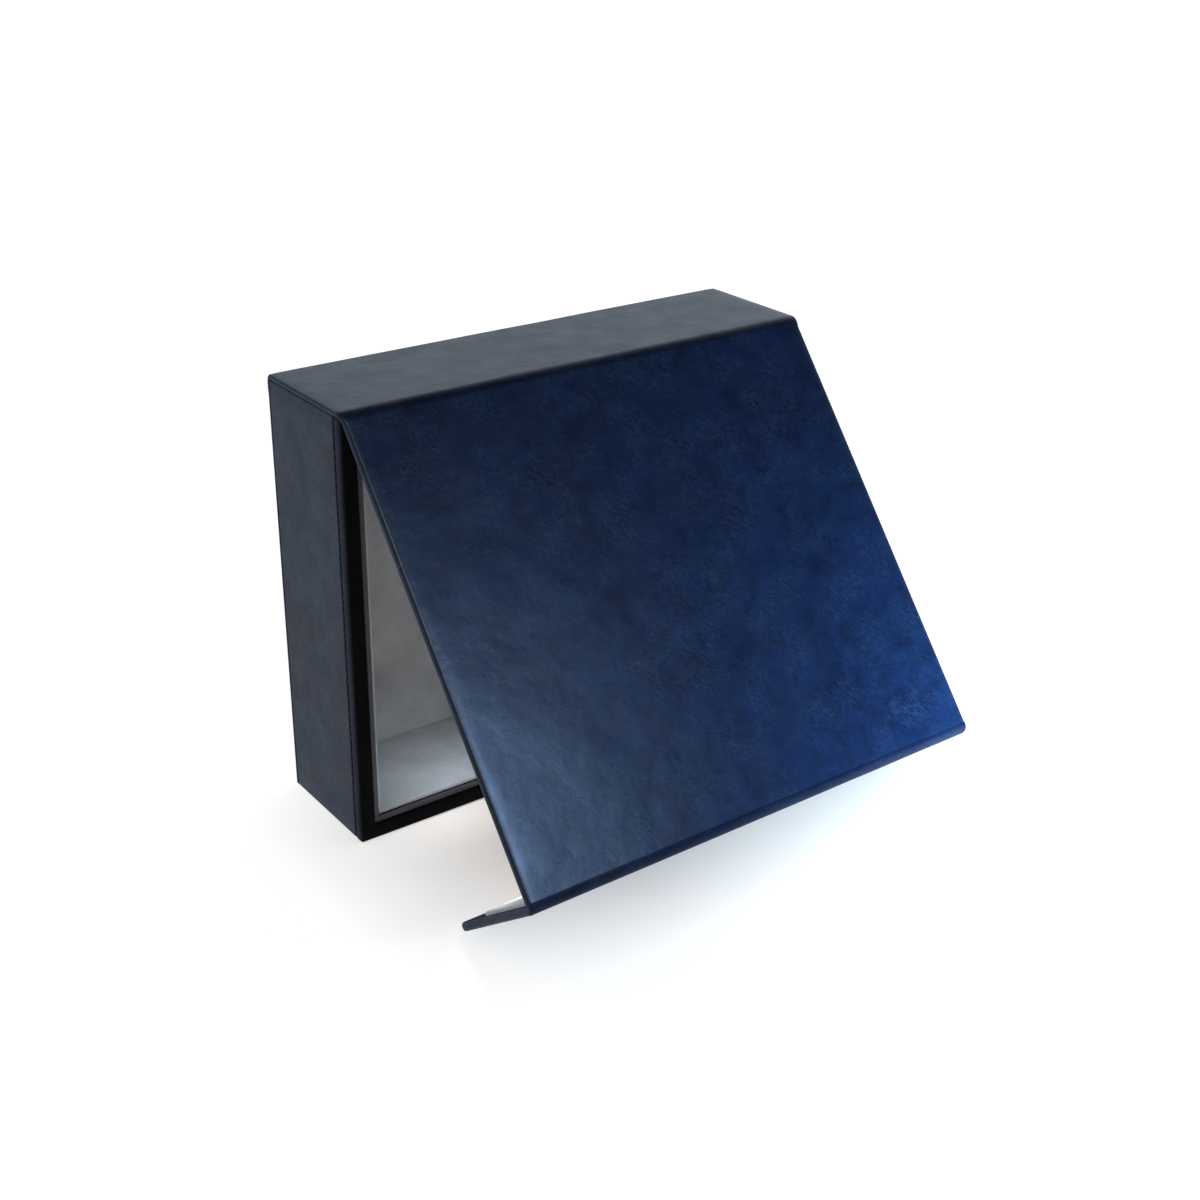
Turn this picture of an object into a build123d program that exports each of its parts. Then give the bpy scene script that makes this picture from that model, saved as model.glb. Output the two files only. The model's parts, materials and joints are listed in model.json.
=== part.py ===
from build123d import *
import math
import os

# A hinged clamshell box for phones and keys, standing on its closing side with the lid
# hanging forward. All sizes are in millimetres. X runs along the hinge, +Y from the rim
# towards the back, +Z up. The origin is the middle of the face that the box stands on.

# Overall sizes of the case and the tray
case_width = 200.0
case_height = 165.0
case_depth = 51.4
tray_side_inset = 0.1

# Sheet thicknesses
leather = 0.8
cover_board = 1.2
lid_board_thick = 1.8
wall_board_thick = 4.3
tray_back_thick = 1.4
shield_thick = 0.2
side_pad_thick = 4.5
back_pad_thick = 1.8

# Rim of the tray
rim_radius = 1.2
corner_radius = 1.0
seam_setback = 4.3
rim_turn_width = 0.8
rim_edge_radius = 0.5
ledge_width = 2.4
gasket_setback = 1.35
gasket_thick = 0.4
ledge_depth = 0.8
liner_edge_radius = 1.0
stitch_pitch = 3.28
stitch_length = 2.3
stitch_width = 0.7
stitch_proud = 0.25
stitch_behind_seam = 0.15
stitch_margin = 4.0

# Lid and flap
lid_side_inset = 1.0
lid_gap = 0.2
lid_open_angle = 39.2
lid_axis_drop = 4.8
lid_edge_radius = 1.2
lid_pad_proud = 1.2
lid_pad_clearance = 0.8
pad_joint = 0.2
pad_edge_radius = 0.5
flap_gap = 2.6
flap_short_of_back = 2.7
flap_rest_fold = 1.8
flap_axis_depth = 1.6
flap_pad_proud = 1.2
flap_pad_side_inset = 3.0
flap_pad_fold_inset = 3.0
flap_pad_tip_inset = 14.0
tip_radius = 1.2

# Folds
lid_fold_radius = 6.0
flap_fold_radius = 3.4
fold_margin = 0.3
back_corner_radius = 2.0
back_corner_drop = 4.0
cover_edge_radius = 0.4

# Magnets
magnet_radius = 5.0
flap_magnet_thick = 1.6
wall_magnet_thick = 2.0
wall_magnet_cover = 0.2
magnet_clearance = 0.1
magnet_from_tip = 8.0
magnet_places = (-78.0, -26.0, 26.0, 78.0)

# Sizes that follow
cover_thick = leather + cover_board
lid_thick = leather + lid_board_thick + leather
tray_width = case_width - 2 * tray_side_inset
tray_height = case_height - cover_thick
lid_width = case_width - 2 * lid_side_inset
half_case = case_width / 2
half_tray = tray_width / 2
half_lid = lid_width / 2
wall_inner = leather + wall_board_thick
ledge_start = wall_inner + rim_turn_width
ledge_end = ledge_start + ledge_width
liner_start = gasket_setback + gasket_thick + ledge_depth
tray_back = case_depth - cover_thick
core_back = tray_back - tray_back_thick
back_pad_face = core_back - shield_thick - back_pad_thick

# The lid and flap are drawn closed. These are places in that pose, as (y, z).
lid_outer = -lid_gap - lid_thick
lid_axis = (lid_outer + lid_thick / 2, case_height - lid_axis_drop)
flap_outer = -flap_gap - lid_thick
flap_axis = (lid_outer + flap_axis_depth, flap_outer + flap_axis_depth)
flap_tip = case_depth - flap_short_of_back

# The flap's fold at rest: an arc that is tangent to the lid and to the flap
flap_half_angle = math.radians(90 - flap_rest_fold) / 2
flap_fold_shift = (flap_fold_radius - flap_axis_depth) / math.sin(flap_half_angle)
bisector = math.pi / 2 - flap_half_angle
flap_fold_centre = (
    flap_axis[0] + flap_fold_shift * math.cos(bisector),
    flap_axis[1] + flap_fold_shift * math.sin(bisector),
)
lid_end = flap_fold_centre[1] + fold_margin
flap_start = flap_axis[0] + lid_end - flap_axis[1]

# The lid's fold at rest: an arc from the spine to the hanging lid
open_angle = math.radians(lid_open_angle)
lid_turn = 90 - lid_open_angle
lid_vertex = lid_axis[0] + (
    lid_axis_drop * math.sin(open_angle) - lid_thick / 2
) / math.cos(open_angle)
spine_front = lid_vertex + lid_fold_radius * math.tan(math.radians(lid_turn / 2))
lid_fold_centre = (spine_front, case_height - lid_fold_radius)
axis_along_lid = lid_axis_drop * math.cos(open_angle) + (
    lid_vertex - lid_axis[0]
) * math.sin(open_angle)
lid_fold_run = axis_along_lid - lid_fold_radius * math.tan(math.radians(lid_turn / 2))

parts = {}


def block(x, y, z):
    """A box from its lowest to its highest coordinate on each axis."""
    middle = Pos((x[0] + x[1]) / 2, (y[0] + y[1]) / 2, (z[0] + z[1]) / 2)
    return middle * Box(x[1] - x[0], y[1] - y[0], z[1] - z[0])


def both(reach):
    return (-reach, reach)


def across(section, half_width):
    """Extrudes a section of the YZ plane to both sides."""
    return extrude(section, amount=half_width, both=True)


def mirror_x(shape):
    return mirror(shape, about=Plane.YZ)


def mirror_z(shape):
    return mirror(shape, about=Plane.XY.offset(tray_height / 2))


def open_lid(shape):
    """Turns a closed lid part about the lid's hinge axis to where it hangs."""
    axis = Axis((0, *lid_axis), (1, 0, 0))
    return shape.rotate(axis, -lid_open_angle)


def open_flap(shape):
    """Turns a closed flap part about the flap's axis, then with the lid."""
    axis = Axis((0, *flap_axis), (1, 0, 0))
    return open_lid(shape.rotate(axis, flap_rest_fold))


def rounded_box(x, y, z, direction, radius):
    """A box whose four edges along one axis are rounded."""
    shape = block(x, y, z)
    return fillet(shape.edges().filter_by(direction), radius)


def mitred(section, reach):
    """A left side and a closing side of the rim, cut at 45 degrees where they meet.
    The section's x is the distance in from the tray's side, its y the depth."""
    left_plane = Plane(origin=(-half_tray, 0, 0), x_dir=(1, 0, 0), z_dir=(0, 0, 1))
    left = extrude(left_plane * section, amount=tray_height)
    closing_plane = Plane(origin=(half_tray, 0, 0), x_dir=(0, 0, 1), z_dir=(-1, 0, 0))
    closing = extrude(closing_plane * section, amount=tray_width)
    trapezoid = Plane.XZ * make_face(
        Polyline(
            (-half_tray, 0),
            (-half_tray + reach, reach),
            (-half_tray + reach, tray_height - reach),
            (-half_tray, tray_height),
            close=True,
        )
    )
    side_cut = extrude(trapezoid, amount=case_depth, both=True)
    foot = Plane.XZ * make_face(
        Polyline(
            (-half_tray, 0),
            (half_tray, 0),
            (half_tray - reach, reach),
            (-half_tray + reach, reach),
            close=True,
        )
    )
    foot_cut = extrude(foot, amount=case_depth, both=True)
    return left & side_cut, closing & foot_cut


def tray_boards():
    core = block(
        both(half_tray - leather), (leather, core_back), (leather, tray_height - leather)
    )
    front = core.faces().sort_by(Axis.Y)[0]
    core = fillet(front.edges(), rim_radius - leather)
    left = block(
        (-half_tray + leather, -half_tray + wall_inner),
        (leather, core_back),
        (wall_inner, tray_height - wall_inner),
    )
    closing = block(
        both(half_tray - leather), (leather, core_back), (leather, wall_inner)
    )
    parts["left_wall_board"] = left & core
    parts["right_wall_board"] = mirror_x(left & core)
    parts["hinge_wall_board"] = mirror_z(closing & core)
    pockets = [
        Pos(x, flap_tip - magnet_from_tip, leather + wall_magnet_cover)
        * Cylinder(
            magnet_radius + magnet_clearance,
            wall_magnet_thick + magnet_clearance,
            align=(Align.CENTER, Align.CENTER, Align.MIN),
        )
        for x in magnet_places
    ]
    parts["closing_wall_board"] = (closing & core) - pockets
    parts["tray_back_board"] = block(
        both(half_tray - leather), (core_back, tray_back), (leather, tray_height - leather)
    )


def tray_leather():
    skin = rounded_box(
        both(half_tray), (0, tray_back), (0, tray_height), Axis.Y, corner_radius
    )
    left = block(
        (-half_tray, -half_tray + leather),
        (seam_setback, tray_back),
        (leather, tray_height - leather),
    )
    closing = block(both(half_tray), (seam_setback, tray_back), (0, leather)) & skin
    parts["left_wall_leather"] = left & skin
    parts["right_wall_leather"] = mirror_x(left & skin)
    parts["closing_wall_leather"] = closing
    parts["hinge_wall_leather"] = mirror_z(closing)


def rim_section():
    """The leather that turns over the wall's edge and steps in to the gasket ledge."""
    inner_radius = rim_radius - leather
    step = gasket_setback + gasket_thick
    outline = [
        Line((leather, seam_setback), (0, seam_setback)),
        Line((0, seam_setback), (0, rim_radius)),
        CenterArc((rim_radius, rim_radius), rim_radius, 180, 90),
        Line((rim_radius, 0), (ledge_start - rim_edge_radius, 0)),
        CenterArc(
            (ledge_start - rim_edge_radius, rim_edge_radius), rim_edge_radius, 270, 90
        ),
        Line((ledge_start, rim_edge_radius), (ledge_start, step)),
        Line((ledge_start, step), (ledge_end, step)),
        Line((ledge_end, step), (ledge_end, liner_start)),
        Line((ledge_end, liner_start), (wall_inner, liner_start)),
        Line((wall_inner, liner_start), (wall_inner, leather)),
        Line((wall_inner, leather), (rim_radius, leather)),
        CenterArc((rim_radius, rim_radius), inner_radius, 180, 90),
        Line((leather, rim_radius), (leather, seam_setback)),
    ]
    return make_face(outline)


def rim_binding():
    skin = rounded_box(
        both(half_tray), (0, tray_back), (0, tray_height), Axis.Y, corner_radius
    )
    left, closing = mitred(rim_section(), ledge_end + leather)
    parts["rim_binding_left"] = left & skin
    parts["rim_binding_right"] = mirror_x(left & skin)
    parts["rim_binding_closing"] = closing & skin
    parts["rim_binding_hinge"] = mirror_z(closing & skin)


def rim_gasket():
    middle = ((ledge_start + ledge_end) / 2, gasket_setback + gasket_thick / 2)
    section = Pos(*middle) * Rectangle(ledge_width, gasket_thick)
    left, closing = mitred(section, ledge_end + leather)
    strips = [left, mirror_x(left), closing, mirror_z(closing)]
    parts["rim_gasket"] = Compound(children=strips)


def stitch_row(length):
    """Middles of the stitches of one row, spread evenly along a length."""
    count = int((length - 2 * stitch_margin) / stitch_pitch) + 1
    first = (length - (count - 1) * stitch_pitch) / 2
    return [first + i * stitch_pitch for i in range(count)]


def rim_stitching():
    near = seam_setback + stitch_behind_seam
    depth = (near, near + stitch_width)
    half = stitch_length / 2
    stitches = []
    for z in stitch_row(tray_height):
        stitch = block(
            (-half_tray - stitch_proud, -half_tray), depth, (z - half, z + half)
        )
        stitches += [stitch, mirror_x(stitch)]
    parts["rim_stitching"] = Compound(children=stitches)


def tray_lining():
    start = wall_inner + shield_thick
    face = start + side_pad_thick
    depth = (liner_start, back_pad_face)
    left = block(
        (-half_tray + start, -half_tray + face), depth, (face, tray_height - face)
    )
    left = fillet(
        left.edges().filter_by(Axis.Z).group_by(Axis.Y)[0].sort_by(Axis.X)[-1],
        liner_edge_radius,
    )
    closing = block(both(half_tray - start), depth, (start, face))
    closing = fillet(
        closing.edges().filter_by(Axis.X).group_by(Axis.Y)[0].sort_by(Axis.Z)[-1],
        liner_edge_radius,
    )
    parts["liner_pad_left"] = left
    parts["liner_pad_right"] = mirror_x(left)
    parts["liner_pad_closing"] = closing
    parts["liner_pad_hinge"] = mirror_z(closing)
    parts["liner_pad_back"] = block(
        both(half_tray - start),
        (back_pad_face, core_back - shield_thick),
        (start, tray_height - start),
    )
    shell = block(
        both(half_tray - wall_inner),
        (liner_start, core_back),
        (wall_inner, tray_height - wall_inner),
    )
    hollow = block(
        both(half_tray - start),
        (0, core_back - shield_thick),
        (start, tray_height - start),
    )
    parts["tray_shield"] = shell - hollow


def wall_magnets():
    discs = [
        Pos(x, flap_tip - magnet_from_tip, leather + wall_magnet_cover)
        * Cylinder(
            magnet_radius,
            wall_magnet_thick,
            align=(Align.CENTER, Align.CENTER, Align.MIN),
        )
        for x in magnet_places
    ]
    parts["closing_wall_magnets"] = Compound(children=discs)


def case_back():
    top = case_height - back_corner_drop
    board = block(
        both(half_case - leather), (tray_back, case_depth - leather), (leather, top)
    )
    shell = rounded_box(
        both(half_case), (tray_back, case_depth), (0, top), Axis.Y, corner_radius
    )
    square_top = block(
        both(half_case), (tray_back, case_depth), (top - 2 * corner_radius, top)
    )
    shell = shell + square_top
    outer = shell.faces().sort_by(Axis.Y)[-1]
    shell = fillet(outer.edges().filter_by(Axis.Z), cover_edge_radius)
    parts["back_board"] = board
    parts["back_leather"] = shell - board


def case_spine():
    turn = (case_depth - back_corner_radius, case_height - back_corner_radius)
    corner = Plane.YZ * make_face(
        [
            Line((spine_front, tray_height), (spine_front, case_height)),
            Line((spine_front, case_height), (turn[0], case_height)),
            CenterArc(turn, back_corner_radius, 0, 90),
            Line((case_depth, turn[1]), (case_depth, case_height - back_corner_drop)),
            Line(
                (case_depth, case_height - back_corner_drop),
                (tray_back, case_height - back_corner_drop),
            ),
            Line((tray_back, case_height - back_corner_drop), (tray_back, tray_height)),
            Line((tray_back, tray_height), (spine_front, tray_height)),
        ]
    )
    shell = across(corner, half_case)
    top = shell.faces().sort_by(Axis.Z)[-1]
    shell = fillet(top.edges().filter_by(Axis.Y), cover_edge_radius)
    board = block(
        both(half_case - leather),
        (spine_front, tray_back),
        (tray_height, tray_height + cover_board),
    )
    filler = block(
        both(half_case - leather),
        (tray_back, tray_back + cover_board),
        (case_height - back_corner_drop, tray_height),
    )
    parts["spine_board"] = board
    parts["spine_corner_filler"] = filler
    parts["spine_leather"] = shell - board - filler


def lid_layers():
    depth = (lid_outer, -lid_gap)
    board_y = (lid_outer + leather, lid_outer + leather + lid_board_thick)
    top = lid_axis[1]
    board_top = top - lid_thick / 2
    inside = half_lid - leather
    shell = block(both(half_lid), depth, (lid_end, top))
    outer = shell.faces().sort_by(Axis.Y)[0]
    shell = fillet(outer.edges().filter_by(Axis.Z), lid_edge_radius)
    hollow = block(both(inside), (board_y[0], 0), (lid_end, top))
    board = block(both(inside), board_y, (lid_end + leather, board_top))
    clear = ledge_start + lid_pad_clearance
    pad_x = both(half_tray - clear)
    pad_z = (clear, tray_height - clear)
    window = block(
        both(half_tray - clear + pad_joint),
        (board_y[1], 0),
        (pad_z[0] - pad_joint, pad_z[1] + pad_joint),
    )
    border = block(both(inside), (board_y[0], depth[1]), (lid_end, top)) - board - window
    nose = Plane.YZ * make_face(
        [
            Line((lid_axis[0], top), (lid_axis[0], top + lid_thick / 2)),
            CenterArc(lid_axis, lid_thick / 2, 0, 90),
            Line((lid_axis[0] + lid_thick / 2, top), (lid_axis[0], top)),
        ]
    )
    shield = block(pad_x, (board_y[1], board_y[1] + shield_thick), pad_z)
    pad = block(pad_x, (board_y[1] + shield_thick, depth[1] + lid_pad_proud), pad_z)
    face = pad.faces().sort_by(Axis.Y)[-1]
    pad = fillet(face.edges(), pad_edge_radius)
    parts["lid_board"] = open_lid(board)
    parts["lid_leather"] = open_lid(shell - hollow)
    parts["lid_turn_in"] = open_lid(border + across(nose, inside))
    parts["lid_shield"] = open_lid(shield)
    parts["lid_pad"] = open_lid(pad)


def flap_layers():
    height = (flap_outer, -flap_gap)
    board_z = (flap_outer + leather, flap_outer + leather + lid_board_thick)
    inside = half_lid - leather
    shell = block(both(half_lid), (flap_start, flap_tip), height)
    shell = fillet(
        shell.faces().sort_by(Axis.Y)[-1].edges().filter_by(Axis.Z), corner_radius
    )
    shell = fillet(
        shell.faces().sort_by(Axis.Y)[-1].edges().filter_by(Axis.X), tip_radius
    )
    cavity = block(both(inside), (flap_start, flap_tip - leather), (board_z[0], 0))
    board = block(both(inside), (flap_start + leather, flap_tip - leather), board_z)
    magnets = [
        Pos(x, flap_tip - magnet_from_tip, board_z[1] - flap_magnet_thick / 2)
        * Cylinder(magnet_radius, flap_magnet_thick)
        for x in magnet_places
    ]
    pockets = [
        Pos(x, flap_tip - magnet_from_tip, board_z[1] - flap_magnet_thick / 2)
        * Cylinder(magnet_radius + magnet_clearance, flap_magnet_thick)
        for x in magnet_places
    ]
    pad_x = half_lid - flap_pad_side_inset
    pad_y = (flap_start + flap_pad_fold_inset, flap_tip - flap_pad_tip_inset)
    window = block(
        both(pad_x + pad_joint),
        (pad_y[0] - pad_joint, pad_y[1] + pad_joint),
        (board_z[1], 0),
    )
    border = block(
        both(inside), (flap_start, flap_tip - leather), (board_z[0], height[1])
    )
    border = border - board - window
    pad = block(both(pad_x), pad_y, (board_z[1], height[1] + flap_pad_proud))
    face = pad.faces().sort_by(Axis.Z)[-1]
    pad = fillet(face.edges(), pad_edge_radius)
    parts["flap_board"] = open_flap(board - pockets)
    parts["flap_leather"] = open_flap(shell - cavity)
    parts["flap_turn_in"] = open_flap(border)
    parts["flap_pad"] = open_flap(pad)
    parts["flap_magnets"] = open_flap(Compound(children=magnets))


def fold_layer(depth, thick):
    """One layer of the lid's fold, from the spine round to the hanging lid."""
    outer = lid_fold_radius - depth
    inner = outer - thick
    end = 90 + lid_turn
    way = (-math.sin(open_angle), -math.cos(open_angle))

    def on_arc(radius, angle):
        a = math.radians(angle)
        return (
            lid_fold_centre[0] + radius * math.cos(a),
            lid_fold_centre[1] + radius * math.sin(a),
        )

    def down(point):
        return (point[0] + lid_fold_run * way[0], point[1] + lid_fold_run * way[1])

    far_outer = down(on_arc(outer, end))
    far_inner = down(on_arc(inner, end))
    outline = [
        CenterArc(lid_fold_centre, outer, 90, lid_turn),
        Line(on_arc(outer, end), far_outer),
        Line(far_outer, far_inner),
        Line(far_inner, on_arc(inner, end)),
        CenterArc(lid_fold_centre, inner, 90, lid_turn),
        Line(on_arc(inner, 90), on_arc(outer, 90)),
    ]
    return across(Plane.YZ * make_face(outline), half_lid)


def flap_fold_layer(depth, thick, half_width):
    """One layer of the flap's fold, from the lid's end round to the flap."""
    outer = flap_fold_radius - depth
    inner = outer - thick
    turn = 90 + flap_rest_fold
    fold = math.radians(flap_rest_fold)
    y, z = flap_fold_centre

    def at_flap(radius, run):
        return (
            y + radius * math.sin(fold) + run * math.cos(fold),
            z - radius * math.cos(fold) + run * math.sin(fold),
        )

    outline = [
        Line((y - inner, z + fold_margin), (y - outer, z + fold_margin)),
        Line((y - outer, z + fold_margin), (y - outer, z)),
        CenterArc((y, z), outer, 180, turn),
        Line(at_flap(outer, 0), at_flap(outer, fold_margin)),
        Line(at_flap(outer, fold_margin), at_flap(inner, fold_margin)),
        Line(at_flap(inner, fold_margin), at_flap(inner, 0)),
        CenterArc((y, z), inner, 180, turn),
        Line((y - inner, z), (y - inner, z + fold_margin)),
    ]
    return open_lid(across(Plane.YZ * make_face(outline), half_width))


def folds():
    parts["lid_fold_leather"] = fold_layer(0, leather)
    parts["lid_fold_strip"] = fold_layer(leather, leather)
    parts["flap_fold_leather"] = flap_fold_layer(0, leather, half_lid)
    parts["flap_fold_strip"] = flap_fold_layer(leather, leather, half_lid)


tray_boards()
tray_leather()
rim_binding()
rim_gasket()
rim_stitching()
tray_lining()
wall_magnets()
case_back()
case_spine()
lid_layers()
flap_layers()
folds()

os.makedirs("parts", exist_ok=True)
to_origin = Pos(0, -case_depth / 2, 0)
for name, shape in parts.items():
    export_step(to_origin * shape, f"parts/{name}.step")

arm = Vector(0, flap_axis[0] - lid_axis[0], flap_axis[1] - lid_axis[1])
arm = arm.rotate(Axis.X, -lid_open_angle)
lid_y = lid_axis[0] - case_depth / 2
print(f"lid axis at y {lid_y:.4f}, z {lid_axis[1]:.4f}")
print(f"flap axis at y {lid_y + arm.Y:.4f}, z {lid_axis[1] + arm.Z:.4f}")
print(f"flap angle at rest {90 - flap_rest_fold:.1f} degrees")
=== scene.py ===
import json
import math

import bmesh
import bpy
import numpy as np
from mathutils import Matrix, Vector, noise


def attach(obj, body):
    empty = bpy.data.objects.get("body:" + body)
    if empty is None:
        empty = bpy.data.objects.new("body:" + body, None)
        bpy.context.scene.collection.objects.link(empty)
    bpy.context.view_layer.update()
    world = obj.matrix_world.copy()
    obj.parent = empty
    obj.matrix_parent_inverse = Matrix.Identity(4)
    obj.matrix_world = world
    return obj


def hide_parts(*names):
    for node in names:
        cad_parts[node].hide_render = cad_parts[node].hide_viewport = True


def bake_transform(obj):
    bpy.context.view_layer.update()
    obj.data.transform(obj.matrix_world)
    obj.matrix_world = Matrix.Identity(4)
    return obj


# Metres in a millimetre. The object's lengths are in millimetres and its angles in degrees
MM = 0.001

# The case and its cover, and how the lid and flap rest, as in the CAD
CASE_W, CASE_H, CASE_D = 200.0, 165.0, 51.4
LEATHER = 0.8
COVER_T, LID_T, LID_BOARD = 2.0, 3.4, 1.8
TRAY_INSET, LID_INSET = 0.1, 1.0
LID_GAP, FLAP_GAP = 0.2, 2.6
OPEN, FLAP_FOLD = 39.2, 1.8
AXIS_DROP, FLAP_AXIS_DEPTH = 4.8, 1.6
LID_R, FLAP_R = 6.0, 3.4
FOLD_MARGIN = 0.3
BACK_R, BACK_DROP = 2.0, 4.0
FLAP_SHORT = 2.7
CORNER_R, CORNER_STEPS = 1.0, 6

# Roundings of the cover: side edges of the lid and spine, the back's foot, and a joint of panels
EDGE_R, SPINE_R, FOOT_R, JOINT_R = 1.2, 0.8, 0.9, 0.35
# The cover's soft shoulder along its sides, and its slow waves, which fade towards them
SHOULDER, SHOULDER_REACH = 0.36, 3.2
WAVE_LENGTH, WAVE_FADE = 28.0, 6.0
# Width of the leather turned in at a fold's sides, and its gap to the flap fold's centre
WEB_T, WEB_CLEAR = 1.0, 0.1

# Tray: distances in from its side, or back from its rim
SEAM, GROOVE, RIM_R, STEP_R = 4.3, 0.7, 1.2, 0.5
WALL_IN = 5.1
LEDGE_IN, LEDGE_OUT = 5.9, 8.3
GASKET_Y, GASKET_T = 1.35, 0.4
LINER_Y, LINER_IN = 2.55, 5.3
TRAY_BACK_T, SHIELD = 1.4, 0.2
STITCH_PITCH, STITCH_MARGIN = 3.28, 4.0
# The rim's face is painted darker than its roll, as painted shade under the lid, up to this far back
RIM_DARK = 0.45
# Leather beside the seam: height, middle and reach of its swell, and its slow waves
SWELL, SWELL_MIDDLE, SWELL_REACH = 0.15, 0.6, 1.3
SIDE_WAVE, SIDE_WAVE_LENGTH = 0.12, 23.0

# Lining pads of the tray: thickness, rounding and crown
PAD_SIDE, LINER_R, LINER_CROWN = 4.5, 1.0, 0.35
PAD_BACK, BACK_PAD_R, BACK_CROWN = 1.8, 0.5, 0.3
PAD_STEPS = 4

# Pads of the lid and flap, and the windows sunk for them in the cover
PAD_PROUD, PAD_JOINT, PAD_CLEAR = 1.2, 0.2, 0.8
FLAP_PAD_SIDE, FLAP_PAD_FOLD, FLAP_PAD_TIP = 3.0, 3.0, 14.0
WINDOW_DEPTH, WINDOW_SOFT = 0.75, 0.3

half_case = CASE_W / 2
half_tray = half_case - TRAY_INSET
half_lid = half_case - LID_INSET
tray_top = CASE_H - COVER_T
tray_back = CASE_D - COVER_T
back_pad_y = tray_back - TRAY_BACK_T - SHIELD - PAD_BACK

lid_outer = -LID_GAP - LID_T
lid_axis = (lid_outer + LID_T / 2, CASE_H - AXIS_DROP)
flap_outer = -FLAP_GAP - LID_T
flap_axis = (lid_outer + FLAP_AXIS_DEPTH, flap_outer + FLAP_AXIS_DEPTH)
flap_tip = CASE_D - FLAP_SHORT

open_a = math.radians(OPEN)
turn_a = math.radians(90 - OPEN)
half_flap = math.radians(90 - FLAP_FOLD) / 2
fold_shift = (FLAP_R - FLAP_AXIS_DEPTH) / math.sin(half_flap)
bisector = math.pi / 2 - half_flap
fold_centre = (
    flap_axis[0] + fold_shift * math.cos(bisector),
    flap_axis[1] + fold_shift * math.sin(bisector),
)
lid_vertex = lid_axis[0] + (AXIS_DROP * math.sin(open_a) - LID_T / 2) / math.cos(open_a)
spine_front = lid_vertex + LID_R * math.tan(turn_a / 2)
axis_along = AXIS_DROP * math.cos(open_a) + (lid_vertex - lid_axis[0]) * math.sin(open_a)
fold_run = axis_along - LID_R * math.tan(turn_a / 2)


class Route:
    """The cover's outer face in the YZ plane, from the back panel's foot to the flap's tip.
    s is its length so far, p its end and h the heading there."""

    def __init__(self, start, heading):
        self.parts = []
        self.s = 0.0
        self.p = np.array(start, float)
        self.h = np.array(heading, float)

    def line(self, length):
        self.parts.append((self.s, self.s + length, self.p.copy(), self.h.copy(), None))
        self.p = self.p + self.h * length
        self.s += length

    def arc(self, radius, angle):
        """Turns left, so the centre is on the inner side."""
        self.parts.append((self.s, self.s + radius * angle, self.p.copy(), self.h.copy(), radius))
        self.p, self.h = self.turned(self.p, self.h, radius, angle)
        self.s += radius * angle

    @staticmethod
    def turned(p, h, radius, angle):
        turn = np.array([[math.cos(angle), -math.sin(angle)], [math.sin(angle), math.cos(angle)]])
        centre = p + np.array([-h[1], h[0]]) * radius
        return centre + turn @ (p - centre), turn @ h

    def at(self, s):
        """Point and outward normal at a length along the route."""
        for start, end, p, h, radius in self.parts:
            if s <= end + 1e-9:
                break
        if radius is None:
            p = p + h * (s - start)
        else:
            p, h = self.turned(p, h, radius, (s - start) / radius)
        return p, np.array([h[1], -h[0]])


route = Route((CASE_D, 0.0), (0, 1))
route.line(CASE_H - BACK_R)
s_corner = route.s
route.arc(BACK_R, math.pi / 2)
s_top = route.s
route.line(CASE_D - BACK_R - spine_front)
s_spine = route.s
route.arc(LID_R, turn_a)
s_axis = route.s + fold_run
s_lid_end = s_axis + lid_axis[1] - fold_centre[1] - FOLD_MARGIN
route.line(s_lid_end + FOLD_MARGIN - route.s)
route.arc(FLAP_R, math.radians(90 + FLAP_FOLD))
s_flap = route.s + FOLD_MARGIN
route.line(flap_tip - fold_centre[1] + flap_axis[1] - flap_axis[0])
s_tip = route.s


# Mesh helpers
def new_object(name, verts, faces, smooth=40):
    """An object from points in millimetres, with the rim plane at y 0, and their faces."""
    mesh = bpy.data.meshes.new(name)
    points = np.array(verts, float)
    points[:, 1] -= CASE_D / 2
    mesh.from_pydata((points * MM).tolist(), [], faces)
    mesh.validate()
    bm = bmesh.new()
    bm.from_mesh(mesh)
    bmesh.ops.remove_doubles(bm, verts=bm.verts, dist=2e-6)
    bmesh.ops.dissolve_degenerate(bm, edges=bm.edges, dist=1e-6)
    bmesh.ops.recalc_face_normals(bm, faces=bm.faces)
    bm.to_mesh(mesh)
    bm.free()
    mesh.shade_smooth()
    mesh.set_sharp_from_angle(angle=math.radians(smooth))
    ob = bpy.data.objects.new(name, mesh)
    bpy.context.scene.collection.objects.link(ob)
    return ob


def spread(length, r0, r1, step, n=6):
    """Places from 0 to length, close together in a rounding of r0 at the start and r1 at the end."""
    bend = [1 - math.cos(math.pi / 2 * k / n) for k in range(n)]
    first = [r0 * b for b in bend] if r0 else []
    last = [length - r1 * b for b in reversed(bend)] if r1 else []
    count = max(1, round((length - r0 - r1) / step))
    middle = [r0 + (length - r0 - r1) * k / count for k in range(count + 1)]
    return first + middle + last


def stations(a, b, r0=0.0, r1=0.0, step=3.0, extra=()):
    """Places along the route from a to b, with extra ones in given stretches (from, to, count)."""
    places = [a + t for t in spread(b - a, r0, r1, step)]
    for e0, e1, n in extra:
        places += [e0 + (e1 - e0) * k / n for k in range(n + 1)]
    return sorted({round(s, 4) for s in places if a - 1e-9 <= s <= b + 1e-9})


def ease(t):
    t = min(1.0, max(0.0, t))
    return t * t * (3 - 2 * t)


def wave(a, b, size, seed):
    return noise.noise(Vector((a / size, b / size, seed)))


def rounding(p, q, r):
    """Where a point falls that overshoots a rounded edge by p and q: its sideways shares and drop."""
    h = math.hypot(p, q)
    if not r or h == 0:
        return 0.0, 0.0, 0.0
    pull = max(0.0, 1 - r / h)
    h = min(h, r)
    return p * pull, q * pull, r - math.sqrt(max(0.0, r * r - h * h))


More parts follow.
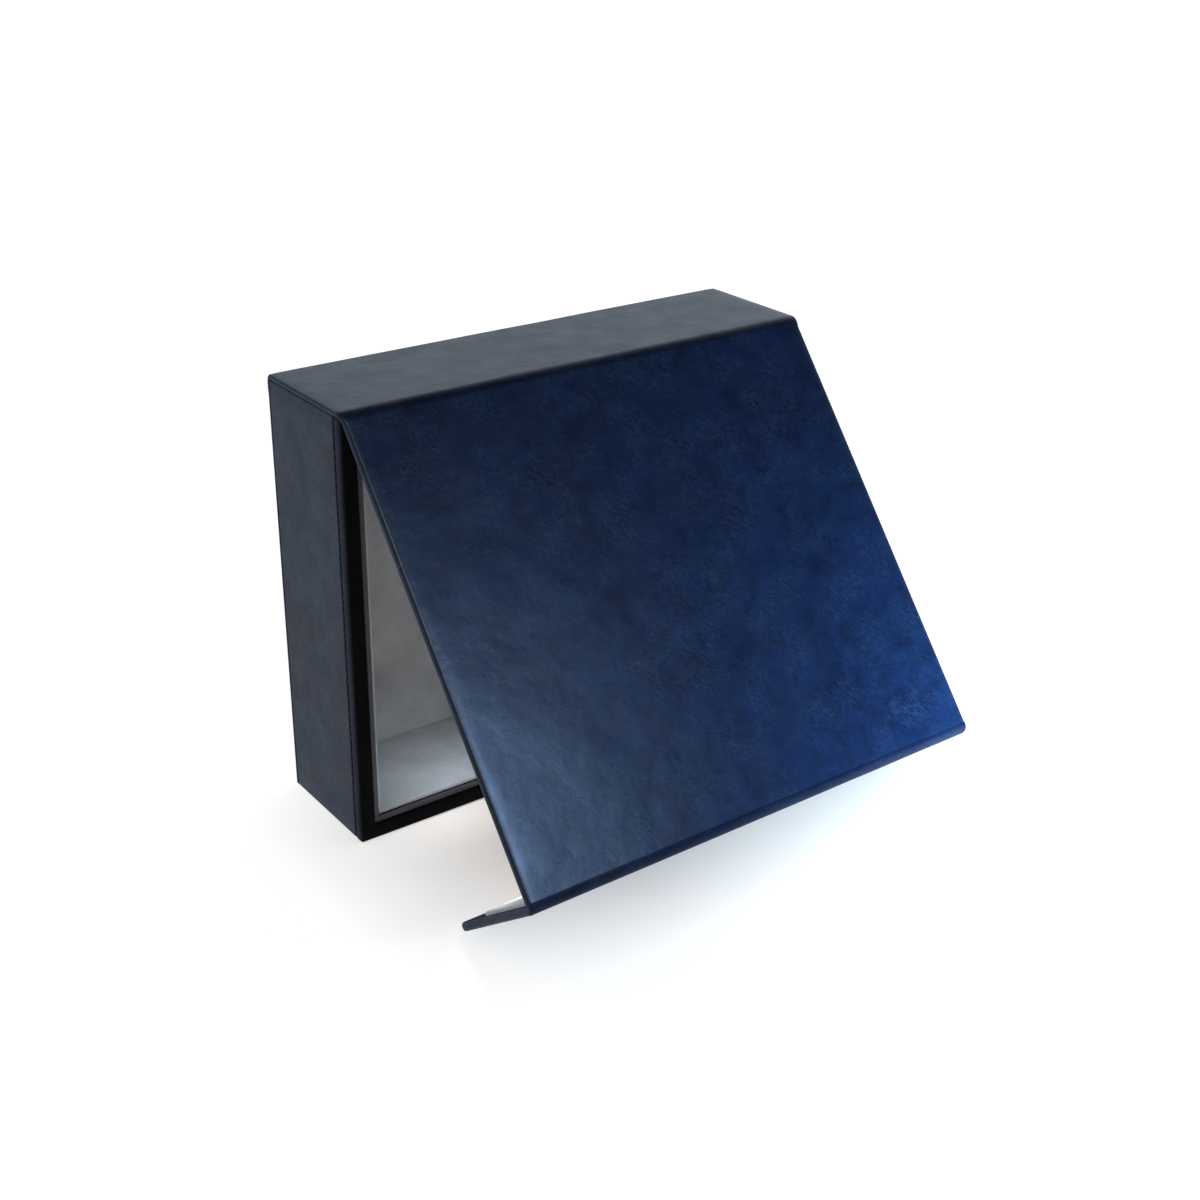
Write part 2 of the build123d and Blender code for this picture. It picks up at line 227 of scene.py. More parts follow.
def closed_skin(n_rows, n_cols):
    """Faces of two grids, the outer one first, joined round their border."""
    faces = []
    low = n_rows * n_cols
    for i in range(n_rows - 1):
        for j in range(n_cols - 1):
            a = i * n_cols + j
            faces.append((a, a + 1, a + n_cols + 1, a + n_cols))
            faces.append((low + a, low + a + n_cols, low + a + n_cols + 1, low + a + 1))
        for a in (i * n_cols, i * n_cols + n_cols - 1):
            faces.append((a, a + n_cols, low + a + n_cols, low + a))
    for j in range(n_cols - 1):
        for a in (j, (n_rows - 1) * n_cols + j):
            faces.append((a, a + 1, low + a + 1, low + a))
    return faces


def slab(name, places, half, thick, side, r0=0.0, r1=0.0, step=3.0, shoulder=0.0, wavy=0.0,
         window=None, web=None, grow=None):
    """A panel of the cover that follows the route. half(s) is half its width. side, r0 and r1
    round its side edges, its start and its end. shoulder and wavy are the depth of its shoulder
    and the height of its waves. window: (half width, from, to) of the place sunk in its inner
    face for the pad. web(s): depth to which the leather is turned in at its sides. grow(s):
    share of the side rounding and shoulder, for a fold between two panels."""
    start, end = places[0], places[-1]
    width = half(start)
    cols = [t - width for t in spread(2 * width, side, side, step)]
    if web:
        cols += [way * (width - t) for t in (WEB_T - 0.05, WEB_T + 0.15) for way in (-1, 1)]
        cols.sort()
    verts = []
    for inner in (False, True):
        for s in places:
            reach = half(s)
            full = grow(s) if grow else 1.0
            for c in cols:
                x = c * reach / width
                rim = reach - abs(x)
                along, r = 0.0, side * full
                if s - start < r0:
                    along, r = r0 - s + start, r0
                elif end - s < r1:
                    along, r = r1 - end + s, r1
                dx, ds, drop = rounding(max(0.0, r - rim), along, r)
                ds = ds if s - start < r0 else -ds
                point, normal = route.at(s + ds)
                if inner:
                    depth = thick - drop
                    if web and rim < WEB_T:
                        depth = web(s) - drop
                    if window:
                        gap = min(window[0] - abs(x), s - window[1], window[2] - s)
                        depth -= WINDOW_DEPTH * ease((gap + WINDOW_SOFT) / (2 * WINDOW_SOFT))
                else:
                    soft = shoulder * full * max(0.0, 1 - rim / SHOULDER_REACH) ** 2
                    lift = wavy * wave(x, s, WAVE_LENGTH, 1.0) * ease(rim / WAVE_FADE)
                    depth = drop + soft - lift
                point = point - normal * depth
                verts.append((x - math.copysign(dx, x), point[0], point[1]))
    return new_object(name, verts, closed_skin(len(places), len(cols)))


# Sides of the tray in XZ: start, direction, outward normal and length
TRAY_SIDES = [
    ((-half_tray, 0.0), (1, 0), (0, -1), 2 * half_tray),
    ((half_tray, 0.0), (0, 1), (1, 0), tray_top),
    ((half_tray, tray_top), (-1, 0), (0, 1), 2 * half_tray),
    ((-half_tray, tray_top), (0, -1), (-1, 0), tray_top),
]


def ring(name, profile, shift):
    """A closed profile of (distance in from the tray's side, y) swept round the tray's sides.
    shift(side, along, d, y) moves a point outwards."""
    verts = []
    for k, (origin, along, out, length) in enumerate(TRAY_SIDES):
        count = round((length - 2 * LEDGE_OUT) / (STITCH_PITCH / 4))
        for i in range(count + 1):
            t = LEDGE_OUT + (length - 2 * LEDGE_OUT) * i / count
            for d, y in profile:
                inset = d - shift(k, t, d, y)
                x = origin[0] + along[0] * t - out[0] * inset
                z = origin[1] + along[1] * t - out[1] * inset
                verts.append((x, y, z))
        end = (origin[0] + along[0] * length, origin[1] + along[1] * length)
        for i in range(1, CORNER_STEPS):
            a = math.pi / 2 * i / CORNER_STEPS
            for d, y in profile:
                centre = max(CORNER_R, d)
                radius = max(CORNER_R - d, 0.0)
                back = radius * math.sin(a) - centre
                push = radius * math.cos(a) - centre
                x = end[0] + along[0] * back + out[0] * push
                z = end[1] + along[1] * back + out[1] * push
                verts.append((x, y, z))
    m = len(profile)
    n = len(verts) // m
    faces = []
    for i in range(n):
        j = (i + 1) % n
        for a in range(m):
            b = (a + 1) % m
            faces.append((i * m + a, i * m + b, j * m + b, j * m + a))
    return new_object(name, verts, faces)


def arc(cx, cy, r, a0, a1, n=6):
    """Points of an arc in a ring's profile, with its angles in degrees."""
    turn = [math.radians(a0 + (a1 - a0) * k / n) for k in range(n + 1)]
    return [(cx + r * math.cos(a), cy + r * math.sin(a)) for a in turn]


def cushion(name, origin, u, v, out, size, thick, radius, crown, step=3.0, fall=0.0):
    """A padded panel: size[0] along u, size[1] along v, thick along out from its glued face. Its
    edges are rounded and the cloth between them is blown up by simulation, up to crown, which
    gets lower along v by fall."""
    origin, u, v, out = (Vector(a) for a in (origin, u, v, out))
    cols = spread(size[0], radius, radius, step, PAD_STEPS)
    rows = spread(size[1], radius, radius, step, PAD_STEPS)
    verts = []
    for inner in (False, True):
        for b in rows:
            for a in cols:
                p = max(0.0, radius - min(a, size[0] - a))
                q = max(0.0, radius - min(b, size[1] - b))
                da, db, drop = rounding(p, q, radius)
                height = 0.0 if inner else thick - drop
                da = da if a < size[0] / 2 else -da
                db = db if b < size[1] / 2 else -db
                verts.append(tuple(origin + u * (a + da) + v * (b + db) + out * height))
    ob = new_object(name, verts, closed_skin(len(rows), len(cols)), smooth=60)
    blow_up(ob, out, thick, crown, origin, v * (fall / size[1]))
    return ob


def blow_up(ob, out, thick, crown, origin, slope):
    """Cloth simulation on a copy of the pad enlarged ten times, whose glued face and edges are
    pinned. Its moves are taken over, softly capped at the crown less the slope's fall."""
    grow, frames, tolerance = 10.0, 20, 0.02
    work = ob.copy()
    work.data = ob.data.copy()
    bpy.context.scene.collection.objects.link(work)
    count = len(work.data.vertices)
    rest = np.empty(count * 3)
    work.data.vertices.foreach_get("co", rest)
    work.data.vertices.foreach_set("co", rest * grow)
    points = rest.reshape(-1, 3)
    base = np.array(Vector((origin.x, origin.y - CASE_D / 2, origin.z)) * MM)
    height = (points - base) @ np.array(out) / MM
    top = crown - (points - base) @ np.array(slope) / MM
    pins = work.vertex_groups.new(name="pins")
    pins.add([i for i in range(count) if height[i] < thick - tolerance], 1.0, "REPLACE")
    cloth = work.modifiers.new("cloth", "CLOTH")
    cloth.settings.quality = 6
    cloth.settings.mass = 0.2
    cloth.settings.tension_stiffness = 12
    cloth.settings.compression_stiffness = 12
    cloth.settings.shear_stiffness = 5
    cloth.settings.bending_stiffness = 0.4
    cloth.settings.shrink_min = -0.012
    cloth.settings.shrink_max = -0.012
    cloth.settings.use_pressure = True
    cloth.settings.uniform_pressure_force = 4.0
    cloth.settings.effector_weights.gravity = 0.0
    cloth.settings.vertex_group_mass = "pins"
    cloth.collision_settings.use_collision = False
    scene = bpy.context.scene
    for k in range(1, frames + 1):
        scene.frame_set(k)
    blown = work.evaluated_get(bpy.context.evaluated_depsgraph_get()).data
    moved = np.empty(count * 3)
    blown.vertices.foreach_get("co", moved)
    scene.frame_set(1)
    bpy.data.objects.remove(work)
    rise = (moved.reshape(-1, 3) / grow - points) @ np.array(out) / MM
    for i in range(count):
        lift = top[i] * math.tanh(max(0.0, rise[i]) / top[i])
        points[i] += np.array(out) * lift * MM
    ob.data.vertices.foreach_set("co", points.reshape(-1))
    ob.data.update()


# Materials
class Nodes:
    """Makes and links the nodes of one tree."""

    def __init__(self, tree):
        self.tree = tree

    def feed(self, socket, value):
        """Links an output to a socket, or sets the socket's own value."""
        if isinstance(value, bpy.types.NodeSocket):
            self.tree.links.new(value, socket)
        else:
            socket.default_value = value

    def make(self, kind, inputs=None, **settings):
        """A node with its settings, and with its inputs by name or number."""
        node = self.tree.nodes.new(kind)
        for key, value in settings.items():
            setattr(node, key, value)
        for key, value in (inputs or {}).items():
            self.feed(node.inputs[key], value)
        return node

    def maths(self, operation, *values):
        """A math node's output."""
        return self.make("ShaderNodeMath", dict(enumerate(values)), operation=operation).outputs[0]

    def vector(self, operation, inputs, output=0):
        """A vector math node's output."""
        return self.make("ShaderNodeVectorMath", inputs, operation=operation).outputs[output]

    def fit(self, source, low, high, to_low=0.0, to_high=1.0, kind="LINEAR"):
        """Turns the range from low to high into the one from to_low to to_high."""
        inputs = {"Value": source, "From Min": low, "From Max": high, "To Min": to_low,
                  "To Max": to_high}
        return self.make("ShaderNodeMapRange", inputs, interpolation_type=kind).outputs[0]


class Surface(Nodes):
    """The nodes of a new material, with its shader and its object coordinates."""

    def __init__(self, name):
        self.material = bpy.data.materials.new(name)
        self.material.use_nodes = True
        super().__init__(self.material.node_tree)
        self.tree.nodes.clear()
        self.shader = self.make("ShaderNodeBsdfPrincipled")
        self.make("ShaderNodeOutputMaterial", {0: self.shader.outputs[0]})
        self.place = self.make("ShaderNodeTexCoord").outputs["Object"]

    def give(self, inputs):
        """Sets or links inputs of the shader."""
        for key, value in inputs.items():
            self.feed(self.shader.inputs[key], value)

    def noise(self, scale, detail, roughness, distortion=0.0, output="Fac"):
        """A noise in object coordinates, which are in metres."""
        inputs = {"Vector": self.place, "Scale": scale, "Detail": detail, "Roughness": roughness,
                  "Distortion": distortion}
        return self.make("ShaderNodeTexNoise", inputs).outputs[output]

    def mix(self, share, first, second):
        """A mix of two values, with the second one's share."""
        return self.make("ShaderNodeMix", {0: share, 2: first, 3: second}, data_type="FLOAT").outputs[0]

    def ramp(self, source, low, high, dark, light):
        """A two-colour ramp."""
        node = self.make("ShaderNodeValToRGB", {"Fac": source})
        ends = node.color_ramp.elements
        ends[0].position, ends[1].position = low, high
        ends[0].color, ends[1].color = (*dark, 1), (*light, 1)
        return node.outputs["Color"]

    def bumps(self, *layers):
        """Bump layers of (height, strength, depth in metres), one on top of the other."""
        normal = None
        for height, strength, depth in layers:
            inputs = {"Height": height, "Strength": strength, "Distance": depth}
            if normal:
                inputs["Normal"] = normal
            normal = self.make("ShaderNodeBump", inputs).outputs[0]
        self.give({"Normal": normal})


def leather(name, dark, light, rough, crease, shine, rub_and_light=1.5):
    """Coated leather: small dark clouds, patches of fine slanting creases and a fine grain.
    crease is the strength of its creases, shine its coat's, and the last argument how light the lines
    of the creases are painted: wear, and painted glints of light."""
    made = Surface(name)
    clouds = made.noise(135.0, 4.0, 0.6, distortion=0.4)
    tone = made.noise(28.0, 2.0, 0.5)
    colour = made.ramp(made.mix(0.35, clouds, tone), 0.35, 0.55, dark, light)

    warp = made.noise(130.0, 3.0, 0.6, output="Color")
    push = made.vector("SCALE", {0: warp, "Scale": 0.006})
    moved = made.vector("ADD", {0: made.place, 1: push})
    # Creases run this way, so the pattern is drawn out along it
    lie = (0.626, -0.493, -0.604)
    along = made.vector("DOT_PRODUCT", {0: moved, 1: lie}, "Value")
    back = made.vector("SCALE", {0: lie, "Scale": made.maths("MULTIPLY", along, -0.83)})
    drawn = made.vector("ADD", {0: moved, 1: back})
    inputs = {"Vector": drawn, "Scale": 950.0}
    cells = made.make("ShaderNodeTexVoronoi", inputs, feature="DISTANCE_TO_EDGE")
    line = made.fit(cells.outputs["Distance"], 0.0, 0.17, 1.0, 0.0)
    where = made.fit(made.noise(70.0, 5.0, 0.65), 0.36, 0.66, 0.05, 1.0)
    height = made.maths("MULTIPLY", line, where)

    grain = made.noise(2100.0, 3.0, 0.65)
    swell = made.noise(95.0, 3.0, 0.5)
    made.bumps((swell, 0.27, 0.0010), (height, 0.22 * crease, 0.00013), (grain, 0.2, 0.00012))

    # Raised lines are painted lighter and greyer: wear on the ridges, and painted glints of light
    wear_and_glint_share = made.fit(height, 0.0, 1.0, 0.0, 0.8)
    pale = (rub_and_light * 2.6 * light[0], rub_and_light * 1.7 * light[1], rub_and_light * light[2], 1)
    worn_and_glint = made.make("ShaderNodeMix", {0: wear_and_glint_share, 6: colour, 7: pale}, data_type="RGBA")
    made.give({
        "Base Color": worn_and_glint.outputs[2],
        "Roughness": made.fit(swell, 0.2, 0.8, rough - 0.04, rough + 0.05),
        "Specular IOR Level": shine,
    })
    return made.material


def cloth(name, dark, light):
    """Short-napped lining cloth, lighter in bumped patches: uneven nap, and painted blotches of light.
    """
    made = Surface(name)
    nap = made.noise(1500.0, 3.0, 0.65)
    # Patches of uneven nap, which also give painted blotches of light
    rub_and_light = made.noise(75.0, 4.0, 0.62)
    made.bumps((rub_and_light, 0.25, 0.0008), (nap, 0.3, 0.0003))
    made.give({
        "Base Color": made.ramp(made.mix(0.5, nap, rub_and_light), 0.36, 0.62, dark, light),
        "Roughness": 0.9,
        "Specular IOR Level": 0.2,
        "Sheen Weight": 0.2,
        "Sheen Roughness": 0.5,
    })
    return made.material


def plain(name, colour, rough, scale, metal=0.0, shine=0.5):
    """Board, thread, tape, foil and plated metal: a noisy tone and a fine bump."""
    made = Surface(name)
    speck = made.noise(scale, 4.0, 0.6)
    contrast = 0.12
    dark = [c * (1 - contrast) for c in colour]
    light = [min(1.0, c * (1 + contrast)) for c in colour]
    made.bumps((speck, 0.3, 0.0001))
    made.give({
        "Base Color": made.ramp(speck, 0.3, 0.7, dark, light),
        "Roughness": rough,
        "Metallic": metal,
        "Specular IOR Level": shine,
    })
    return made.material


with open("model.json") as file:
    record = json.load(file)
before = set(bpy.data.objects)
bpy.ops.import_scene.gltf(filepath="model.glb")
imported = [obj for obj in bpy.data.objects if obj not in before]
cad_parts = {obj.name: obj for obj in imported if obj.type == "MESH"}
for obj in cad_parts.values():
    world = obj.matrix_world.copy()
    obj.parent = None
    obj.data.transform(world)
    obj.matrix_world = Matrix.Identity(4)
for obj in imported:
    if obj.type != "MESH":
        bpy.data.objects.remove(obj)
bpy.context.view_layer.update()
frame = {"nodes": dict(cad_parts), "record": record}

# Leathers: dark and light tone, roughness, creases, shine and, on the lid's, how light the crease lines
# are painted, for wear and painted glints
LEATHERS = {
    "cover_leather": ((0.0025, 0.0082, 0.030), (0.0052, 0.0170, 0.062), 0.36, 1.5, 0.27),
    "lid_leather": ((0.0016, 0.0056, 0.023), (0.0036, 0.0124, 0.050), 0.36, 0.38, 0.20, 1.7),
    "tray_leather": ((0.0045, 0.0095, 0.022), (0.0085, 0.018, 0.040), 0.5, 0.7, 0.11),
    # painted shade: a near-black copy for the binding's face
    "painted_shade_rim_leather": ((0.0006, 0.0006, 0.0012), (0.0012, 0.0012, 0.0022), 0.6, 0.3, 0.04),
    # painted shade: a darker copy of the cover's leather for its side faces
    "painted_shade_side_leather": ((0.0015, 0.0045, 0.014), (0.0035, 0.009, 0.030), 0.45, 0.4, 0.12),
    "turned_leather": ((0.0025, 0.006, 0.020), (0.0045, 0.011, 0.036), 0.65, 0.5, 0.02),
    # painted shade: a darker copy of the leather for the flap's fold
    "painted_shade_fold_leather": ((0.0016, 0.0042, 0.016), (0.0030, 0.008, 0.029), 0.5, 0.5, 0.06),
    "roll_leather": ((0.0015, 0.0035, 0.009), (0.003, 0.006, 0.015), 0.5, 0.7, 0.05),
}
leathers = {name: leather(name, *values) for name, values in LEATHERS.items()}
FINISHES = {
    "cover_leather": leathers["cover_leather"],
    "tray_leather": leathers["tray_leather"],
    "thread": plain("thread", (0.002, 0.003, 0.006), 0.7, 3000.0, shine=0.1),
    "board": plain("board", (0.42, 0.39, 0.34), 0.85, 500.0),
    "lining_cloth": cloth("lining_cloth", (0.33, 0.33, 0.34), (0.47, 0.47, 0.475)),
    "gasket_tape": plain("gasket_tape", (0.055, 0.053, 0.062), 0.5, 1500.0, shine=0.3),
    "shield_foil": plain("shield_foil", (0.75, 0.75, 0.76), 0.35, 200.0, metal=1.0),
    "magnet": plain("magnet", (0.62, 0.62, 0.64), 0.25, 1500.0, metal=1.0),
}
for entry in frame["record"]["subparts"]:
    for held in frame["nodes"][entry["node"]].material_slots:
        held.link = "OBJECT"
        held.material = FINISHES[entry["material_slot"]]


def piece(ob, body, slot, *nodes, finish=None, inward=None):
    """Gives a modelled piece its finish and body, and hides the nodes that it stands for. On the
    cover's leather, faces that look sideways get a darker leather, which is painted shade, and
    a face that looks the way inward says is duller."""
    ob.data.materials.clear()
    ob.data.materials.append(finish or FINISHES[slot])
    if slot == "cover_leather":
        ob.data.materials.append(leathers["painted_shade_side_leather"])
        ob.data.materials.append(leathers["turned_leather"])
        for face in ob.data.polygons:
            # Faces that look sideways get the darker leather: painted shade
            if abs(face.normal.x) > 0.6:
                face.material_index = 1
            elif inward and face.normal.dot(inward) > 0.5:
                face.material_index = 2
    if body:
        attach(ob, body)
    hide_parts(*nodes)


def inward_at(s):
    _, normal = route.at(s)
    return Vector((0, -normal[0], -normal[1]))


def around(s):
    """A finer stretch of stations, for the edge of a window."""
    return (s - 0.4, s + 0.4, 4)


def along_fold(s):
    """How far a place is along the spine's fold, eased from 0 to 1."""
    return ease((s - s_spine) / (s_axis - s_spine))


# Cover: back panel, spine, fold, lid, fold and flap
s_notch = CASE_H - BACK_DROP
spine_shoulder = SHOULDER * SPINE_R / EDGE_R
places = stations(0.0, s_notch, FOOT_R, JOINT_R)
ob = slab("cover_back", places, lambda s: half_case, COVER_T, SPINE_R, FOOT_R, JOINT_R,
          shoulder=spine_shoulder, wavy=0.12)
piece(ob, "tray", "cover_leather", "back_leather")

places = stations(s_notch, s_spine, JOINT_R, 0.0, extra=[(s_corner, s_top, 8)])
ob = slab("cover_spine", places, lambda s: half_case, COVER_T, SPINE_R, JOINT_R, 0.0,
          shoulder=spine_shoulder, wavy=0.12)
piece(ob, "tray", "cover_leather", "spine_leather")

places = stations(s_spine, s_axis, step=0.5)
ob = slab("cover_lid_fold", places, lambda s: half_case - LID_INSET * along_fold(s), 2 * LEATHER,
          EDGE_R, shoulder=SHOULDER, wavy=0.05,
          web=lambda s: COVER_T + (LID_T - COVER_T) * along_fold(s),
          grow=lambda s: (SPINE_R + (EDGE_R - SPINE_R) * along_fold(s)) / EDGE_R)
piece(ob, None, "cover_leather", "lid_fold_leather", "lid_fold_strip",
      finish=leathers["lid_leather"])
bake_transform(ob)

pad_clear = LEDGE_IN + PAD_CLEAR
lid_pad_from = s_axis + lid_axis[1] - tray_top + pad_clear
lid_pad_to = s_axis + lid_axis[1] - pad_clear
lid_pad_half = half_tray - pad_clear
window = (lid_pad_half + PAD_JOINT, lid_pad_from - PAD_JOINT, lid_pad_to + PAD_JOINT)
places = stations(s_axis, s_lid_end, step=2.6, extra=[around(window[1]), around(window[2])])
ob = slab("cover_lid", places, lambda s: half_lid, LID_T, EDGE_R, shoulder=SHOULDER, step=2.0,
          wavy=0.25, window=window)
piece(ob, "lid", "cover_leather", "lid_leather", "lid_turn_in", finish=leathers["lid_leather"],
      inward=inward_at(s_lid_end))

# The flap's fold gets the darker leather: painted shade on the fold, which faces the floor
ob = slab("cover_flap_fold", stations(s_lid_end, s_flap, step=0.45), lambda s: half_lid,
          2 * LEATHER, EDGE_R, wavy=0.05, web=lambda s: FLAP_R - WEB_CLEAR)
piece(ob, None, "cover_leather", "flap_fold_leather", "flap_fold_strip",
      finish=leathers["painted_shade_fold_leather"])
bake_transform(ob)

flap_pad_from, flap_pad_to = s_flap + FLAP_PAD_FOLD, s_tip - FLAP_PAD_TIP
flap_pad_half = half_lid - FLAP_PAD_SIDE
window = (flap_pad_half + PAD_JOINT, flap_pad_from - PAD_JOINT, flap_pad_to + PAD_JOINT)
edges = [around(window[1]), around(window[2])]
places = stations(s_flap, s_tip, 0.0, EDGE_R, step=2.6, extra=edges)
ob = slab("cover_flap", places, lambda s: half_lid, LID_T, EDGE_R, 0.0, EDGE_R, shoulder=0.1,
          wavy=0.12, window=window)
piece(ob, "flap", "cover_leather", "flap_leather", "flap_turn_in", finish=leathers["lid_leather"],
      inward=inward_at(s_flap))


# Tray: side leather up to the seam, stitches in the seam's groove, binding and gasket
stitch_count = int((tray_top - 2 * STITCH_MARGIN) / STITCH_PITCH) + 1
first_stitch = (tray_top - (stitch_count - 1) * STITCH_PITCH) / 2


def pull_of_stitches(side, along, d, y):
    """The leather beside the seam swells a little between the stitches, which are on two sides."""
    if side in (0, 2) or d > 0.3:
        return 0.0
    swell = 0.5 - 0.5 * math.cos(2 * math.pi * (along - first_stitch) / STITCH_PITCH)
    near = math.exp(-(((y - SEAM - GROOVE / 2) / SWELL_REACH) ** 2))
    slow = wave(along, y, SIDE_WAVE_LENGTH, 4.0 + side)
    return SWELL * (swell - SWELL_MIDDLE) * near + SIDE_WAVE * slow


# Side leather: from its rounded edge at the groove to the tray's back, and inside to the seam
groove_end = SEAM + GROOVE
profile = arc(0.5, groove_end + 0.5, 0.5, 270, 180)
profile += [(0.0, groove_end + t) for t in (1.0, 1.8, 3.0, 6.0, 12.0, 20.0, 28.0, 36.0)]
profile += [(0.0, tray_back), (LEATHER, tray_back), (LEATHER, SEAM), (0.5, SEAM)]
ob = ring("tray_sides", profile, pull_of_stitches)
piece(ob, "tray", "tray_leather", "left_wall_leather", "right_wall_leather", "closing_wall_leather",
      "hinge_wall_leather")

# Binding: its bulging roll from the seam to the rim, its face, the steps inside, and back
inner_r = RIM_R - LEATHER
tape_back = GASKET_Y + GASKET_T
profile = arc(0.4, SEAM - 0.4, 0.4, 90, 180) + [(-0.06, 3.2), (-0.08, 2.3), (-0.03, 1.6)]
profile += arc(RIM_R, RIM_R, RIM_R, 180, 270)
profile += arc(LEDGE_IN - STEP_R, STEP_R, STEP_R, 270, 360, 4)
profile += [(LEDGE_IN, tape_back), (LEDGE_OUT, tape_back), (LEDGE_OUT, LINER_Y)]
profile += [(WALL_IN, LINER_Y), (WALL_IN, LEATHER)] + arc(RIM_R, RIM_R, inner_r, 270, 180, 4)
profile += [(LEATHER, SEAM)]
ob = ring("rim_binding", profile, pull_of_stitches)
piece(ob, "tray", "tray_leather", "rim_binding_left", "rim_binding_right", "rim_binding_closing",
      "rim_binding_hinge", finish=leathers["roll_leather"])
ob.data.materials.append(leathers["painted_shade_rim_leather"])
# The binding's face, and all of it along the closing and hinge walls, gets the near-black leather:
# painted shade
for face in ob.data.polygons:
    in_front = face.center.y < (RIM_DARK - CASE_D / 2) * MM
    if in_front or abs(face.center.x) < (half_tray - RIM_R) * MM:
        face.material_index = 1


def stitches():
    """Slanting stitches of two twisted plies, in the groove of the seam on both sides."""
    # A ply: its sides, steps, radius, and how far it lies from the stitch's line
    sides, turns, ply_r, off = 6, 12, 0.22, 0.13
    # A stitch: gap to the next, depth of its line, how far its ends sink, and its slant
    gap, inset, sunk, slant = 0.5, 0.16, 0.62, 0.34
    verts, faces = [], []
    for way in (-1, 1):
        for i in range(stitch_count):
            middle = first_stitch + i * STITCH_PITCH
            for ply in (0, math.pi):
                base = len(verts)
                for k in range(turns + 1):
                    t = k / turns
                    twist = ply + 2.2 * math.pi * t
                    x = half_tray - inset - sunk * (2 * t - 1) ** 4 + off * math.sin(twist)
                    y = SEAM + 0.36 + slant * (t - 0.5) + off * math.cos(twist)
                    z = middle + (STITCH_PITCH - gap) * (0.5 - t)
                    for j in range(sides):
                        a = 2 * math.pi * j / sides
                        verts.append((way * (x + ply_r * math.sin(a)), y + ply_r * math.cos(a), z))
                for k in range(turns):
                    for j in range(sides):
                        a, b = base + k * sides + j, base + k * sides + (j + 1) % sides
                        faces.append((a, b, b + sides, a + sides))
                faces.append(tuple(base + j for j in range(sides)))
                faces.append(tuple(base + turns * sides + j for j in range(sides)))
    return new_object("seam_stitches", verts, faces, smooth=60)


piece(stitches(), "tray", "thread", "rim_stitching")


def gasket():
    """Four strips of tape, mitred where they meet, with a fine bevel that shows the joint."""
    bevel, bend = 0.15, 0.35
    section = [(LEDGE_IN, tape_back), (LEDGE_IN, GASKET_Y + bevel), (LEDGE_IN + bevel, GASKET_Y)]
    section += arc(LEDGE_OUT - bend, GASKET_Y + bend, bend, 270, 360, 4)
    section += [(LEDGE_OUT, tape_back)]
    # Cuts across a strip: way in from its end, gap to the mitre, and how far its face is sunk
    cuts = [(1, 0.0, 0.14), (1, 0.22, 0.0), (-1, 0.22, 0.0), (-1, 0.0, 0.14)]
    m = len(section)
    verts, faces = [], []
    for origin, along, out, length in TRAY_SIDES:
        base = len(verts)
        for way, gap, sink in cuts:
            for d, y in section:
                t = d + gap if way > 0 else length - d - gap
                x = origin[0] + along[0] * t - out[0] * d
                z = origin[1] + along[1] * t - out[1] * d
                verts.append((x, min(tape_back, y + sink), z))
        for k in range(len(cuts) - 1):
            p, q = base + k * m, base + (k + 1) * m
            for a in range(m):
                b = (a + 1) % m
                faces.append((p + a, p + b, q + b, q + a))
        faces.append(tuple(base + a for a in range(m)))
        faces.append(tuple(base + (len(cuts) - 1) * m + a for a in range(m)))
    return new_object("gasket_frame", verts, faces)


piece(gasket(), "tray", "gasket_tape", "rim_gasket")


# Pads of the tray's lining, the lid and the flap
def pad(ob, body, node):
    piece(ob, body, "lining_cloth", node)


face_in = LINER_IN + PAD_SIDE
liner_right, liner_top = half_tray - LINER_IN, tray_top - LINER_IN
long_side = 2 * liner_right
short_side = tray_top - 2 * face_in
deep = back_pad_y - LINER_Y
up, back_way, right_way = (0, 0, 1), (0, 1, 0), (1, 0, 0)
left_way, down = (-1, 0, 0), (0, 0, -1)
# Each side's pad: its corner, its way along the wall, its way out from it, and its length
LININGS = {
    "closing": ((-liner_right, LINER_Y, LINER_IN), right_way, up, long_side),
    "hinge": ((-liner_right, LINER_Y, liner_top), right_way, down, long_side),
    "left": ((-liner_right, LINER_Y, face_in), up, right_way, short_side),
    "right": ((liner_right, LINER_Y, face_in), up, left_way, short_side),
}
for side, (corner, along, out, length) in LININGS.items():
    ob = cushion("lining_" + side, corner, along, back_way, out, (length, deep), PAD_SIDE,
                 LINER_R, LINER_CROWN)
    pad(ob, "tray", "liner_pad_" + side)
corner = (-liner_right, back_pad_y + PAD_BACK, LINER_IN)
ob = cushion("lining_back", corner, right_way, up, (0, -1, 0), (long_side, tray_top - 2 * LINER_IN),
             PAD_BACK, BACK_PAD_R, BACK_CROWN, step=4.0)
pad(ob, "tray", "liner_pad_back")


def cover_pad(name, body, node, start, end, half, depth, crown, fall, radius, step):
    """A pad glued in the window of the lid or flap, at a depth under the cover's outer face."""
    p, normal = route.at(start)
    heading = Vector((0, -normal[1], normal[0]))
    out = Vector((0, -normal[0], -normal[1]))
    origin = Vector((-half, p[0], p[1])) + out * depth
    thick = LID_T + PAD_PROUD - depth
    ob = cushion(name, origin, right_way, heading, out, (2 * half, end - start), thick, radius, crown,
                 step, fall)
    pad(ob, body, node)


board_face = LEATHER + LID_BOARD
cover_pad("lid_cushion", "lid", "lid_pad", lid_pad_from, lid_pad_to, lid_pad_half,
          board_face + SHIELD, crown=0.3, fall=0.0, radius=0.7, step=3.2)
# The flap's crown falls towards its tip, which passes close to the closing wall
cover_pad("flap_cushion", "flap", "flap_pad", flap_pad_from, flap_pad_to, flap_pad_half,
          board_face, crown=0.9, fall=0.78, radius=0.8, step=2.0)


